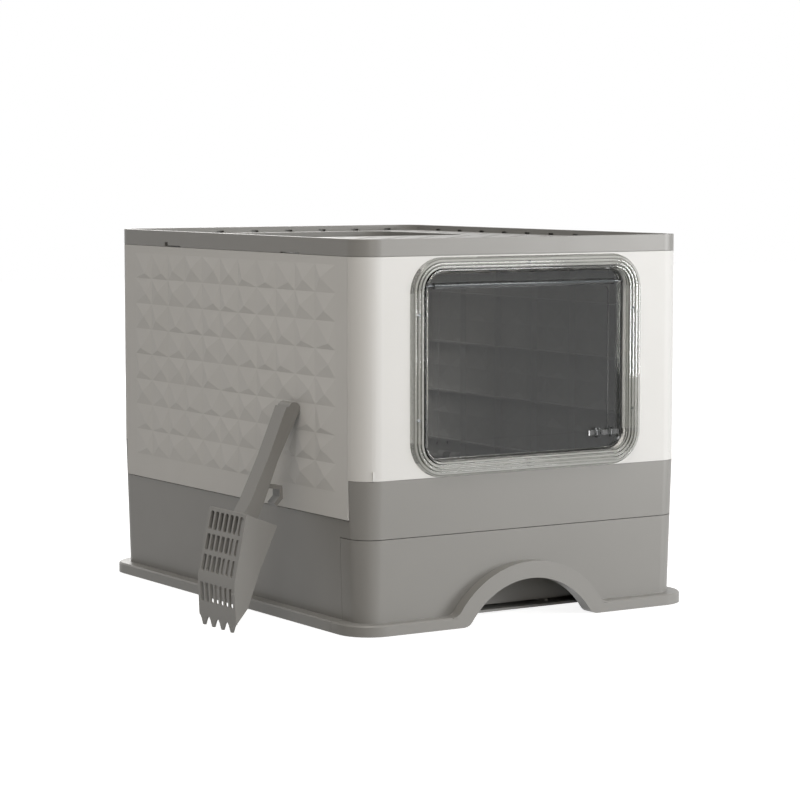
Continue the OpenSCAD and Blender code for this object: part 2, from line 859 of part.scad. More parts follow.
module lid() {
    difference() {
        union() {
            difference() {
                plan_slab(0, lid_z, total_h);
                plan_slab(rim_w, deck_z, total_h + cut);
                plan_slab(base_t, lid_z - cut, deck_z - deck_t);
            }
            // collar under the entry opening
            translate([0, entry_y, collar_z])
                linear_extrude(height = deck_z - collar_z)
                    rounded_rect(entry_w + 2 * collar_t, entry_l + 2 * collar_t, entry_r + collar_t);
        }
        translate([0, entry_y, lid_z - cut])
            linear_extrude(height = lid_h + 2 * cut)
                rounded_rect(entry_w, entry_l, entry_r);
        translate([0, 0, lid_z - cut])
            linear_extrude(height = lid_h + 2 * cut)
                litter_holes();
        sweep_slots();
        for (s = [-1, 1])
            box([-half_w - cut, s * notch_y - notch_l / 2, lid_z - cut],
                [half_w + cut, s * notch_y + notch_l / 2, lid_z + notch_h]);
        box([-half_w - cut, notch_y + notch_l / 2 - lift_slot_l, lid_z - cut],
            [half_w + cut, notch_y + notch_l / 2, lid_z + lift_slot_h]);
    }
}

// ---------------------------------------------------------------- scoop

// The scoop's outline points are [distance out from the wall, height]
scoop_face = [[88.5, 11], [90, 48], [76, 115]];
scoop_edge = [[42, 102], [61, 61], [75, 24], [86, 11]];
handle_out = [[66, 109], [57, 124], [37, 165], [16, 214.5]];
handle_in = [[scoop_gap + 0.8, 209.5], [26, 162], [41, 124], [50, 104]];

// Outline pushed across the scoop's width, from y0 to y1 about its middle
module scoop_slice(y0, y1) {
    translate([-half_w, scoop_y, 0])
        upright(y0, y1)
            mirror([1, 0])
                children();
}

// Outline in y and z pushed through the scoop's face
module scoop_face_cut(d0, d1) {
    translate([-half_w - d1, scoop_y, 0])
        rotate([90, 0, 90])
            linear_extrude(height = d1 - d0)
                children();
}

module scoop() {
    slots = [[24, 43], [54, 70], [74, 90], [94, 112]];
    side = scoop_w / 2;
    slot_pitch = (scoop_w - 6) / 7;
    tooth_half = scoop_w / 8;
    difference() {
        union() {
            // slotted face and the two side walls
            scoop_slice(-side, side)
                polygon([scoop_face[0], scoop_face[1], scoop_face[2],
                         scoop_face[2] - [scoop_t, 0], scoop_face[1] - [scoop_t, 0],
                         scoop_face[0] - [scoop_t, 0]]);
            for (s = [-1, 1])
                scoop_slice(s * (side - scoop_t / 2) - scoop_t / 2, s * (side - scoop_t / 2) + scoop_t / 2)
                    polygon(concat(scoop_face, scoop_edge));
            // back wall that carries the handle
            scoop_slice(-side, side)
                polygon([scoop_face[2], scoop_edge[0], scoop_edge[0] + [1, -2.4], scoop_face[2] + [-1, -2.8]]);
            // teeth
            scoop_face_cut(86.4, 88.4) {
                for (y = [-3 : 2 : 3])
                    translate([y * tooth_half, 0])
                        polygon([[-0.9 * tooth_half, 10], [0.9 * tooth_half, 10], [0.55 * tooth_half, 6.5],
                                 [1.7, 0.3], [-1.7, 0.3], [-0.55 * tooth_half, 6.5]]);
                translate([-side + 0.3, 9.2])
                    square([scoop_w - 0.6, 3]);
            }
            // handle with a rounded end, and the hook on its wall side
            scoop_slice(-11, 11)
                union() {
                    polygon(concat(handle_out, handle_in));
                    translate([scoop_gap + 6.5, 212])
                        circle(r = 6.5);
                }
            scoop_slice(-7, 7)
                polygon([[38, 139], [19, 136.5], [18.2, 124], [25.5, 116.5], [28, 119.5],
                         [21.8, 126], [21.9, 133.2], [38, 135.4]]);
        }
        for (r = slots)
            for (k = [-3 : 3])
                scoop_face_cut(74.2, 95)
                    translate([k * slot_pitch, (r[0] + r[1]) / 2])
                        rounded_rect(6.6, r[1] - r[0], 2);
    }
}

// ---------------------------------------------------------------- nodes

color("#97938f") base_housing();
color("#2b2b2c") rubber_feet();
color("#97938f") drawer_front();
color("#8d8a87") litter_pan();
color("#b5b7ba") drawer_screws();
color("#e4e3e1") left_wall();
color("#e4e3e1") right_wall();
color("#e4e3e1") front_wall();
color("#e4e3e1") rear_wall();
color("#c3c5c8") left_hinge_pins();
color("#c3c5c8") right_hinge_pins();
color("#c3c5c8") front_hinge_pins();
color("#c3c5c8") rear_hinge_pins();
color("#c9cdd0") window_bezel();
color("#dcdcdb") window_retainer();
color("#b5b7ba") window_screws();
color("#5d6266") window_flap();
color("#c3c5c8") flap_pin();
color("#e8eaeb") flap_latch();
color("#97938f") lid();
color("#97938f") scoop();
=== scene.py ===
"""Look of the top entry litter box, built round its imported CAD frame.

Lengths are metres in the CAD's own frame: +Z up, the window and the drawer face -Y, and the
scoop leans on the wall at -X.
"""

import json
import logging
import math
from dataclasses import dataclass, field
from enum import Enum

import bmesh
import bpy
from mathutils import Matrix, Vector

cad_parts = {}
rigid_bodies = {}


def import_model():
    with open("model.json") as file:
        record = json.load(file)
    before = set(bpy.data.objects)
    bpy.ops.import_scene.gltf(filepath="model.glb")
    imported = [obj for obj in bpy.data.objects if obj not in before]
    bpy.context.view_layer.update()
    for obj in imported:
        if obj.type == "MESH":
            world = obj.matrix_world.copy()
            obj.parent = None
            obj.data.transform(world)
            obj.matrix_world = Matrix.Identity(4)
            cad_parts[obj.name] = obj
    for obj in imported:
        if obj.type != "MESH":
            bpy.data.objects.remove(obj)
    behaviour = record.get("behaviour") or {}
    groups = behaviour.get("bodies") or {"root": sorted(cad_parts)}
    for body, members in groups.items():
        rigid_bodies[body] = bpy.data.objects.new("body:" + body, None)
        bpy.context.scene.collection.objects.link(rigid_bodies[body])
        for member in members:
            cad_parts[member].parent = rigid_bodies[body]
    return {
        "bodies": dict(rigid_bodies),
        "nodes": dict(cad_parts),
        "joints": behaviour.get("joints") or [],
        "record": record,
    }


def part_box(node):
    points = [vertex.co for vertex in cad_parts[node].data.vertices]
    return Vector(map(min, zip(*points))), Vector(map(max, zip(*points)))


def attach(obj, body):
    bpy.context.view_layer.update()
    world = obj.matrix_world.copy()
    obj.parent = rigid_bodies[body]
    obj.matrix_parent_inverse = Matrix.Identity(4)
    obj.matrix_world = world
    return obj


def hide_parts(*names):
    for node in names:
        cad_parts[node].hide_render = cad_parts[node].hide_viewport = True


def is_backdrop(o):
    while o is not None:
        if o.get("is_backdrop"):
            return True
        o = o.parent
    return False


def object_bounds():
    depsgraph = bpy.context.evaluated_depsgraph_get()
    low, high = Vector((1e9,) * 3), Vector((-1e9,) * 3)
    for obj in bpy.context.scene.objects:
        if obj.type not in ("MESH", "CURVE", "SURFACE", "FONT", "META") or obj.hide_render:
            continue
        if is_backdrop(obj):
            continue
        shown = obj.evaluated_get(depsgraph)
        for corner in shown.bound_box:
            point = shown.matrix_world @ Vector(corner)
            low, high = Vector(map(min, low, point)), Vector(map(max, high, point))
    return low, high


LOG = logging.getLogger("litter_box")
MM = 0.001
# edges flatter than this many degrees shade smoothly, unless a piece says otherwise
SMOOTH_BELOW = 32.0
# vertices of a CAD mesh this near each other are one, and edges this short are none
WELD_GAP = 2e-6
SHORTEST_EDGE = 1e-6
# neighbouring triangles that differ by less than this many degrees are one flat face
FLAT_WITHIN = 0.4

Colour = tuple[float, float, float, float]
Place = tuple[float, float, float]
Shape = tuple[tuple[float, float], ...]


# ------------------------------------------------------------------ shader helpers


def srgb(code: str) -> Colour:
    """Turns a hex colour into linear light.

    Args:
        code: The colour as "#rrggbb" in sRGB.

    Returns:
        Linear red, green and blue, and an alpha of 1.
    """
    levels = (int(code[i : i + 2], 16) / 255 for i in (1, 3, 5))
    linear = [v / 12.92 if v <= 0.04045 else ((v + 0.055) / 1.055) ** 2.4 for v in levels]
    return (*linear, 1.0)


def add_node(
    tree: bpy.types.NodeTree,
    kind: str,
    settings: dict[str | int, object] | None = None,
    links: dict[str | int, bpy.types.NodeSocket] | None = None,
) -> bpy.types.Node:
    """Adds one shader node.

    Args:
        tree: The node tree that gets it.
        kind: The node's type name, such as "ShaderNodeBump".
        settings: Values by name or number; a name is an input's, else a property's.
        links: Output sockets by the name or number of the input that they feed.

    Returns:
        The new node.
    """
    node = tree.nodes.new(kind)
    for name, value in (settings or {}).items():
        if isinstance(name, int) or name in node.inputs:
            node.inputs[name].default_value = value
        else:
            setattr(node, name, value)
    for name, socket in (links or {}).items():
        tree.links.new(socket, node.inputs[name])
    return node


def new_material(name: str) -> tuple[bpy.types.Material, bpy.types.NodeTree]:
    """Makes an empty node material.

    Args:
        name: The material's name.

    Returns:
        The material and its cleared node tree.
    """
    material = bpy.data.materials.new(name)
    material.use_nodes = True
    material.node_tree.nodes.clear()
    return material, material.node_tree


# ------------------------------------------------------------------ finishes


@dataclass(frozen=True)
class MouldedPolypropylene:
    """Injection-moulded polypropylene with a fine spark-eroded grain.

    To the eye it is a soft satin: one colour that drifts a little along the mould flow, and a
    sheen broken up by the grain.
    """

    name: str
    colour: str
    flow_colour: str
    roughness: float
    grain_mm: float = 1.1
    grain_depth_mm: float = 0.016
    flow_mm: float = 90.0
    polish_mm: float = 28.0
    polish: float = 0.05

    def material(self) -> bpy.types.Material:
        """Builds the node material.

        Returns:
            The material.
        """
        material, tree = new_material(self.name)
        place = add_node(tree, "ShaderNodeTexCoord").outputs["Object"]
        # slow drift of the colour along the mould flow
        flow = add_node(
            tree,
            "ShaderNodeTexNoise",
            {"Scale": 1 / (self.flow_mm * MM), "Detail": 2.0, "Roughness": 0.45},
            {"Vector": place},
        )
        tint = add_node(
            tree,
            "ShaderNodeMix",
            {"data_type": "RGBA", 6: srgb(self.colour), 7: srgb(self.flow_colour)},
            {0: flow.outputs["Fac"]},
        )
        # the real grain is about 0.2 mm, drawn coarser so that it shows at this distance
        grain = add_node(
            tree,
            "ShaderNodeTexNoise",
            {"Scale": 1 / (self.grain_mm * MM), "Detail": 3.0, "Roughness": 0.6},
            {"Vector": place},
        )
        relief = add_node(
            tree,
            "ShaderNodeBump",
            {"Strength": 0.5, "Distance": self.grain_depth_mm * MM},
            {"Height": grain.outputs["Fac"]},
        )
        # handling polishes some places a little
        polish = add_node(
            tree,
            "ShaderNodeTexNoise",
            {"Scale": 1 / (self.polish_mm * MM), "Detail": 3.0},
            {"Vector": place},
        )
        rough = add_node(
            tree,
            "ShaderNodeMapRange",
            {"To Min": self.roughness - self.polish, "To Max": self.roughness + self.polish},
            {"Value": polish.outputs["Fac"]},
        )
        shader = add_node(
            tree,
            "ShaderNodeBsdfPrincipled",
            {"IOR": 1.49},
            {
                "Base Color": tint.outputs[2],
                "Roughness": rough.outputs["Result"],
                "Normal": relief.outputs["Normal"],
            },
        )
        add_node(tree, "ShaderNodeOutputMaterial", None, {"Surface": shader.outputs["BSDF"]})
        return material


@dataclass(frozen=True)
class ClearStyrene:
    """Polished clear styrene: see-through, with bright edges where it bends the light."""

    name: str
    tint: str
    roughness: float
    ior: float
    wave_mm: float = 9.0
    wave_depth_mm: float = 0.05

    def material(self) -> bpy.types.Material:
        """Builds the node material; shadow rays pass straight through it.

        Returns:
            The material.
        """
        material, tree = new_material(self.name)
        place = add_node(tree, "ShaderNodeTexCoord").outputs["Object"]
        # the faint waviness that polished mould steel leaves
        wave = add_node(
            tree,
            "ShaderNodeTexNoise",
            {"Scale": 1 / (self.wave_mm * MM), "Detail": 1.0},
            {"Vector": place},
        )
        relief = add_node(
            tree,
            "ShaderNodeBump",
            {"Strength": 0.25, "Distance": self.wave_depth_mm * MM},
            {"Height": wave.outputs["Fac"]},
        )
        glass = add_node(
            tree,
            "ShaderNodeBsdfPrincipled",
            {
                "Base Color": srgb(self.tint),
                "Roughness": self.roughness,
                "IOR": self.ior,
                "Transmission Weight": 1.0,
            },
            {"Normal": relief.outputs["Normal"]},
        )
        through = add_node(tree, "ShaderNodeBsdfTransparent", {"Color": srgb(self.tint)})
        path = add_node(tree, "ShaderNodeLightPath")
        mix = add_node(
            tree,
            "ShaderNodeMixShader",
            None,
            {0: path.outputs["Is Shadow Ray"], 1: glass.outputs["BSDF"], 2: through.outputs["BSDF"]},
        )
        add_node(tree, "ShaderNodeOutputMaterial", None, {"Surface": mix.outputs["Shader"]})
        return material


@dataclass(frozen=True)
class MouldedRubber:
    """Soft black thermoplastic rubber, moulded matt."""

    name: str
    colour: str
    roughness: float = 0.75
    grain_mm: float = 1.5
    grain_depth_mm: float = 0.05

    def material(self) -> bpy.types.Material:
        """Builds the node material.

        Returns:
            The material.
        """
        material, tree = new_material(self.name)
        place = add_node(tree, "ShaderNodeTexCoord").outputs["Object"]
        grain = add_node(
            tree,
            "ShaderNodeTexNoise",
            {"Scale": 1 / (self.grain_mm * MM), "Detail": 2.0},
            {"Vector": place},
        )
        relief = add_node(
            tree,
            "ShaderNodeBump",
            {"Strength": 0.5, "Distance": self.grain_depth_mm * MM},
            {"Height": grain.outputs["Fac"]},
        )
        shader = add_node(
            tree,
            "ShaderNodeBsdfPrincipled",
            {"Base Color": srgb(self.colour), "Roughness": self.roughness, "IOR": 1.5},
            {"Normal": relief.outputs["Normal"]},
        )
        add_node(tree, "ShaderNodeOutputMaterial", None, {"Surface": shader.outputs["BSDF"]})
        return material


@dataclass(frozen=True)
class ZincPlatedSteel:
    """Drawn steel wire and screws with a bright zinc plating, lightly brushed."""

    name: str
    colour: str
    brush_mm: float = 0.8
    smoothest: float = 0.24
    roughest: float = 0.4

    def material(self) -> bpy.types.Material:
        """Builds the node material.

        Returns:
            The material.
        """
        material, tree = new_material(self.name)
        place = add_node(tree, "ShaderNodeTexCoord").outputs["Object"]
        brush = add_node(
            tree,
            "ShaderNodeTexNoise",
            {"Scale": 1 / (self.brush_mm * MM), "Detail": 2.0},
            {"Vector": place},
        )
        rough = add_node(
            tree,
            "ShaderNodeMapRange",
            {"To Min": self.smoothest, "To Max": self.roughest},
            {"Value": brush.outputs["Fac"]},
        )
        shader = add_node(
            tree,
            "ShaderNodeBsdfPrincipled",
            {"Base Color": srgb(self.colour), "Metallic": 1.0},
            {"Roughness": rough.outputs["Result"]},
        )
        add_node(tree, "ShaderNodeOutputMaterial", None, {"Surface": shader.outputs["BSDF"]})
        return material


class Slot(Enum):
    """The record's material slots."""

    GREY = "grey_plastic"
    WHITE = "white_plastic"
    CLEAR = "clear_plastic"
    SMOKED = "smoked_plastic"
    RUBBER = "rubber"
    STEEL = "steel"


@dataclass
class Palette:
    """One material for every slot."""

    materials: dict[Slot, bpy.types.Material] = field(default_factory=dict)

    def mix(self) -> None:
        """Makes every material of the box."""
        grey = MouldedPolypropylene("warm_grey_polypropylene", "#878683", "#83827f", 0.40)
        white = MouldedPolypropylene("white_polypropylene", "#d3d3d2", "#d0d0ce", 0.55)
        self.materials = {
            Slot.GREY: grey.material(),
            Slot.WHITE: white.material(),
            Slot.CLEAR: ClearStyrene("clear_styrene", "#f9f9f8", 0.02, 1.59).material(),
            Slot.SMOKED: ClearStyrene("smoked_styrene", "#a1a3a3", 0.02, 1.49).material(),
            Slot.RUBBER: MouldedRubber("black_rubber", "#262626").material(),
            Slot.STEEL: ZincPlatedSteel("zinc_plated_steel", "#85888b").material(),
        }

    def dress(self, piece: bpy.types.Object, slot: Slot) -> None:
        """Gives a piece the material of a slot."""
        piece.data.materials.clear()
        piece.data.materials.append(self.materials[slot])


# ------------------------------------------------------------------ mesh helpers


@dataclass(frozen=True)
class EdgeRound:
    """The radius that a mould leaves along a piece's edges.

    Attributes:
        radius: Size of the rounding in metres.
        segments: Steps across the rounding.
        least_angle: Edges flatter than this many degrees are left alone.
    """

    radius: float
    segments: int = 2
    least_angle: float = 30.0


def finish_mesh(
    bm: bmesh.types.BMesh,
    name: str,
    smooth_below: float = SMOOTH_BELOW,
) -> bpy.types.Object:
    """Turns a bmesh into an object with smooth curves and crisp corners.

    Args:
        bm: The mesh, which is freed.
        name: The object's name.
        smooth_below: Edges flatter than this many degrees shade smoothly.

    Returns:
        The new object, linked into the scene.
    """
    for face in bm.faces:
        face.smooth = True
    limit = math.radians(smooth_below)
    for edge in bm.edges:
        edge.smooth = len(edge.link_faces) == 2 and edge.calc_face_angle(math.pi) < limit
    mesh = bpy.data.meshes.new(name)
    bm.to_mesh(mesh)
    bm.free()
    piece = bpy.data.objects.new(name, mesh)
    bpy.context.scene.collection.objects.link(piece)
    weights = piece.modifiers.new("even_normals", "WEIGHTED_NORMAL")
    weights.keep_sharp = True
    return piece


def from_frame(frame: dict, node: str) -> bmesh.types.BMesh:
    """Copies a CAD node as clean faces with no loose triangles.

    Args:
        node: The node's name.

    Returns:
        The merged copy.
    """
    bm = bmesh.new()
    bm.from_mesh(frame["nodes"][node].data)
    bmesh.ops.remove_doubles(bm, verts=bm.verts, dist=WELD_GAP)
    bmesh.ops.dissolve_degenerate(bm, edges=bm.edges, dist=SHORTEST_EDGE)
    bmesh.ops.dissolve_limit(
        bm,
        angle_limit=math.radians(FLAT_WITHIN),
        verts=bm.verts,
        edges=bm.edges,
        use_dissolve_boundaries=False,
        delimit={"NORMAL"},
    )
    return bm


def round_edges(bm: bmesh.types.BMesh, spec: EdgeRound) -> None:
    """Rounds a mesh's edges.

    Args:
        bm: The mesh to change.
        spec: The rounding.
    """
    limit = math.radians(spec.least_angle)
    bmesh.ops.bevel(
        bm,
        geom=[e for e in bm.edges if len(e.link_faces) == 2 and e.calc_face_angle(0.0) > limit],
        offset=spec.radius,
        offset_type="OFFSET",
        affect="EDGES",
        segments=spec.segments,
        profile=0.5,
        material=-1,
        clamp_overlap=True,
        miter_outer="SHARP",
    )


@dataclass
class SubAssembly:
    """Something that makes pieces and hands them to the frame."""

    frame: dict
    palette: Palette

    def place(self, piece: bpy.types.Object, body: str, slot: Slot, *nodes: str) -> None:
        """Dresses a piece, lets it ride on a body and stand for CAD nodes.

        Args:
            piece: The piece.
            body: The CAD body that carries it.
            slot: Its material slot.
            nodes: The CAD nodes that it replaces.
        """
        self.palette.dress(piece, slot)
        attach(piece, body)
        if nodes:
            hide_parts(*nodes)
        LOG.info("piece %s rides on %s", piece.name, body)

    def moulding(
        self,
        node: str,
        body: str,
        slot: Slot,
        rounding: EdgeRound,
        name: str,
        smooth_below: float = SMOOTH_BELOW,
    ) -> bpy.types.Object:
        """Makes a rounded piece from a CAD node.

        Args:
            node: The CAD node that it stands for.
            body: The body that carries it.
            slot: Its material slot.
            rounding: Its edge rounding.
            name: The piece's name.
            smooth_below: Edges flatter than this many degrees shade smoothly.

        Returns:
            The piece.
        """
        bm = from_frame(self.frame, node)
        round_edges(bm, rounding)
        piece = finish_mesh(bm, name, smooth_below)
        self.place(piece, body, slot, node)
        return piece

    def keep(self, node: str, slot: Slot) -> None:
        """Gives a CAD node that stays its real material."""
        self.palette.dress(self.frame["nodes"][node], slot)
        LOG.info("node %s stays, in %s", node, slot.value)


# ------------------------------------------------------------------ sub-assemblies


@dataclass
class Housing(SubAssembly):
    """Grey base with skirt and sills, its feet and the hinge pins."""

    edge_radius: float = 0.8 * MM

    def build(self) -> None:
        """Makes the housing's pieces."""
        self.moulding(
            "base_housing",
            "housing",
            Slot.GREY,
            EdgeRound(self.edge_radius),
            "housing_moulding",
        )
        self.keep("rubber_feet", Slot.RUBBER)
        for side in ("left", "right", "front", "rear"):
            self.keep(f"{side}_hinge_pins", Slot.STEEL)


@dataclass
class Drawer(SubAssembly):
    """Pull-out drawer: arched front, litter pan and its screws."""

    edge_radius: float = 0.8 * MM
    pan_radius: float = 0.6 * MM

    def build(self) -> None:
        """Makes the drawer's pieces."""
        self.moulding(
            "drawer_front",
            "drawer",
            Slot.GREY,
            EdgeRound(self.edge_radius),
            "drawer_front_moulding",
        )
        self.moulding(
            "litter_pan",
            "drawer",
            Slot.GREY,
            EdgeRound(self.pan_radius),
            "litter_pan_moulding",
        )
        self.keep("drawer_screws", Slot.STEEL)


@dataclass
class Walls(SubAssembly):
    """The four white walls."""

    facet_radius: float = 0.7 * MM
    facet_least_angle: float = 8.0
    facet_smooth_below: float = 2.5
    edge_radius: float = 0.6 * MM

    def build(self) -> None:
        """Makes the walls."""
        for side in ("left", "right"):
            self.moulding(
                f"{side}_wall",
                f"{side}_wall",
                Slot.WHITE,
                EdgeRound(self.facet_radius, least_angle=self.facet_least_angle),
                f"{side}_wall_moulding",
                self.facet_smooth_below,
            )
        for side in ("front", "rear"):
            self.moulding(
                f"{side}_wall",
                "housing",
                Slot.WHITE,
                EdgeRound(self.edge_radius),
                f"{side}_wall_moulding",
            )


@dataclass(frozen=True)
class Outline:
    """One closed line round the window, as a step of the surround's profile.

    Attributes:
        across: 0 on the clear opening and 1 on the surround's outer edge.
        height: How far it stands out from the wall's face, in metres.
        grown: How much larger it is all round, in metres.
    """

    across: float
    height: float
    grown: float = 0.0


@dataclass
class Window(SubAssembly):
    """Clear ridged surround with the smoked swing door in it."""

    wall_face: float = -255.0 * MM
    opening_width: float = 239.2 * MM
    opening_low: float = 165.6 * MM
    opening_high: float = 347.0 * MM
    opening_radius: float = 17.0 * MM
    rim_width: float = 18.4 * MM
    rim_low: float = 149.5 * MM
    rim_high: float = 361.8 * MM
    rim_radius: float = 35.0 * MM
    corner_steps: int = 14
    ridge_count: int = 3
    ridge_start: float = 0.08
    ridge_pitch: float = 0.215
    ridge_crest: float = 5.3 * MM
    ridge_valley: float = 3.2 * MM
    # proud faces steeper than this take the darker tint of painted shade on the ridge flanks
    painted_shade_slope: float = 0.8
    # where the lip, each ridge and the rim turn: how far across, and how high
    lip_shape: Shape = ((0.0, 3.0 * MM), (0.012, 3.6 * MM), (0.05, 4.0 * MM))
    ridge_shape: Shape = ((0.0, 0.06), (0.1, 0.9), (0.2, 1.0), (0.55, 0.95), (0.66, 0.84), (0.86, 0.0))
    rim_shape: Shape = (
        (0.0, 3.3 * MM),
        (0.04, 4.6 * MM),
        (0.2, 4.9 * MM),
        (0.45, 4.5 * MM),
        (0.68, 3.5 * MM),
        (0.86, 2.0 * MM),
        (0.96, 0.9 * MM),
    )
    smooth_below: float = 38.0
    sideways: float = 0.9
    sleeve_wall: float = 2.0 * MM
    sleeve_depth: float = 15.0 * MM
    boss_radius: float = 2.75 * MM
    boss_depth: float = 2.4 * MM
    screw_beside: float = 9.9 * MM
    screw_below: float = 8.1 * MM
    screw_above: float = 7.5 * MM
    screw_shares: tuple[float, float] = (0.22, 0.78)
    boss_sides: int = 24
    flap_radius: float = 0.4 * MM
    latch_thickness: float = 2.4 * MM
    latch_room: float = 0.3 * MM

    def profile(self) -> list[Outline]:
        """Lists the surround's outlines from the sleeve over the ridges to the rim and back.

        Returns:
            The outlines, of which no two neighbours are level, because bridging twists between
            two outlines in one plane.
        """
        steps = [Outline(0.0, -self.sleeve_depth)]
        steps += [Outline(across, height) for across, height in self.lip_shape]
        for ridge in range(self.ridge_count):
            for part, lift in self.ridge_shape:
                steps.append(
                    Outline(
                        self.ridge_start + (ridge + part) * self.ridge_pitch,
                        self.ridge_valley + lift * (self.ridge_crest - self.ridge_valley),
                    )
                )
        outer = self.ridge_start + self.ridge_count * self.ridge_pitch
        steps += [Outline(outer + share * (1 - outer), height) for share, height in self.rim_shape]
        steps.append(Outline(1.0, 0.0))
        steps.append(Outline(0.0, 0.0, self.sleeve_wall))
        steps.append(Outline(0.0, -self.sleeve_depth, self.sleeve_wall))
        return steps

    def draw(self, bm: bmesh.types.BMesh, step: Outline) -> list[bmesh.types.BMEdge]:
        """Draws one outline as a rounded rectangle of edges.

        Args:
            bm: The mesh that gets it.
            step: The outline.

        Returns:
            Its edges.
        """
        low = self.opening_low + step.across * (self.rim_low - self.opening_low) - step.grown
        high = self.opening_high + step.across * (self.rim_high - self.opening_high) + step.grown
        width = self.opening_width + 2 * (step.across * self.rim_width + step.grown)
        radius = self.opening_radius + step.across * (self.rim_radius - self.opening_radius) + step.grown
        known = set(bm.faces)
        corners = bmesh.ops.create_grid(bm, x_segments=1, y_segments=1, size=0.5)["verts"]
        bmesh.ops.scale(bm, vec=(width, high - low, 1), verts=corners)
        upright = Matrix.Rotation(math.radians(90), 3, "X")
        bmesh.ops.rotate(bm, cent=(0, 0, 0), matrix=upright, verts=corners)
        place = (0, self.wall_face - step.height, (low + high) / 2)
        bmesh.ops.translate(bm, vec=place, verts=corners)
        bmesh.ops.bevel(
            bm,
            geom=corners,
            offset=radius,
            offset_type="OFFSET",
            affect="VERTICES",
            segments=self.corner_steps,
            profile=0.5,
            material=-1,
        )
        (sheet,) = set(bm.faces) - known
        edges = list(sheet.edges)
        bmesh.ops.delete(bm, geom=[sheet], context="FACES_ONLY")
        return edges

    def sleeve_side(self, bm: bmesh.types.BMesh) -> list[bmesh.types.BMFace]:
        """Finds the two faces of the sleeve's right side, where the latch slides in.

        Args:
            bm: The surround's mesh.

        Returns:
            The faces that look along x, beside the clear opening.
        """
        bm.normal_update()
        beside = self.opening_width / 2 - self.sleeve_wall / 2
        return [
            f
            for f in bm.faces
            if abs(f.normal.x) > self.sideways
            and f.calc_center_median().x > beside
            and f.calc_center_median().y > self.wall_face - self.sleeve_wall
        ]

    def cut_latch_slot(self, bm: bmesh.types.BMesh) -> None:
        """Cuts the slot through the sleeve that the latch slides into.

        Args:
            bm: The surround's mesh.
        """
        low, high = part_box("flap_latch")
        room = self.latch_room
        deep = (high[1] - self.latch_thickness - room, high[1] + room)
        tall = (low[2] - room, high[2] + room)
        for axis, places in ((1, deep), (2, tall)):
            for place in places:
                faces = self.sleeve_side(bm)
                edges = {e for f in faces for e in f.edges}
                spot, along = Vector((0, 0, 0)), Vector((0, 0, 0))
                spot[axis], along[axis] = place, 1.0
                bmesh.ops.bisect_plane(
                    bm,
                    geom=[*faces, *edges, *{v for e in edges for v in e.verts}],
                    plane_co=spot,
                    plane_no=along,
                )
        holes = []
        for face in self.sleeve_side(bm):
            middle = face.calc_center_median()
            if deep[0] < middle.y < deep[1] and tall[0] < middle.z < tall[1]:
                holes.append(face)
        rims = list({e for f in holes for e in f.edges if sum(g in holes for g in e.link_faces) == 1})
        bmesh.ops.delete(bm, geom=holes, context="FACES")
        bmesh.ops.bridge_loops(bm, edges=rims)

    def surround(self) -> None:
        """Makes the ridged surround by bridging its outlines, with painted shade on the steep ridge
        flanks.
        """
        bm = bmesh.new()
        lines = [self.draw(bm, step) for step in self.profile()]
        for one, other in zip(lines, lines[1:] + lines[:1]):
            bmesh.ops.bridge_loops(bm, edges=one + other)
        bmesh.ops.recalc_face_normals(bm, faces=bm.faces)
        self.cut_latch_slot(bm)
        bmesh.ops.recalc_face_normals(bm, faces=bm.faces)
        piece = finish_mesh(bm, "window_surround", self.smooth_below)
        self.place(piece, "housing", Slot.CLEAR, "window_bezel")
        # painted shade: the steep flanks of the ridges get a darker tint that stands in for the dark lines
        # the deep grooves reflect
        shaded_flank_tint = ClearStyrene("clear_styrene_painted_shade", "#8d8e86", 0.05, 1.59)
        piece.data.materials.append(shaded_flank_tint.material())
        # faces proud of the valleys and steep enough get the second, darker material, which is painted
        # shade
        for face in piece.data.polygons:
            proud = face.center.y < self.wall_face - self.ridge_valley
            face.material_index = int(proud and abs(face.normal.y) < self.painted_shade_slope)

    def bosses(self) -> None:
        """Makes the retainer's white bosses, which fill the screw holes in the wall."""
        bm = bmesh.new()
        tall = self.opening_high - self.opening_low
        beside = self.opening_width / 2 + self.screw_beside
        rows = [self.opening_low + share * tall for share in self.screw_shares]
        places = [(side * beside, row) for side in (-1, 1) for row in rows]
        places += [(0.0, self.opening_low - self.screw_below), (0.0, self.opening_high + self.screw_above)]
        for x, z in places:
            bmesh.ops.create_cone(
                bm,
                cap_ends=True,
                segments=self.boss_sides,
                radius1=self.boss_radius,
                radius2=self.boss_radius,
                depth=self.boss_depth,
                matrix=Matrix.Translation((x, self.wall_face + self.boss_depth / 2, z))
                @ Matrix.Rotation(math.radians(90), 4, "X"),
            )
        piece = finish_mesh(bm, "retainer_bosses")
        self.place(piece, "housing", Slot.WHITE)

    def build(self) -> None:
        """Makes the window's pieces."""
        self.surround()
        self.bosses()
        self.keep("window_retainer", Slot.WHITE)
        self.keep("window_screws", Slot.STEEL)
        self.keep("flap_pin", Slot.STEEL)
        self.moulding(
            "window_flap",
            "flap",
            Slot.SMOKED,
            EdgeRound(self.flap_radius),
            "window_flap_moulding",
        )
        self.keep("flap_latch", Slot.CLEAR)


@dataclass
class Lid(SubAssembly):
    """Grey lift-off lid."""

    edge_radius: float = 1.1 * MM
    edge_steps: int = 3

    def build(self) -> None:
        """Makes the lid."""
        self.moulding(
            "lid",
            "lid",
            Slot.GREY,
            EdgeRound(self.edge_radius, self.edge_steps),
            "lid_moulding",
        )


@dataclass
class Scoop(SubAssembly):
    """Grey litter scoop leaning on the left wall."""

    edge_radius: float = 1.3 * MM
    edge_steps: int = 3

    def build(self) -> None:
        """Makes the scoop."""
        self.moulding(
            "scoop",
            "scoop",
            Slot.GREY,
            EdgeRound(self.edge_radius, self.edge_steps),
            "scoop_moulding",
        )


# ------------------------------------------------------------------ studio


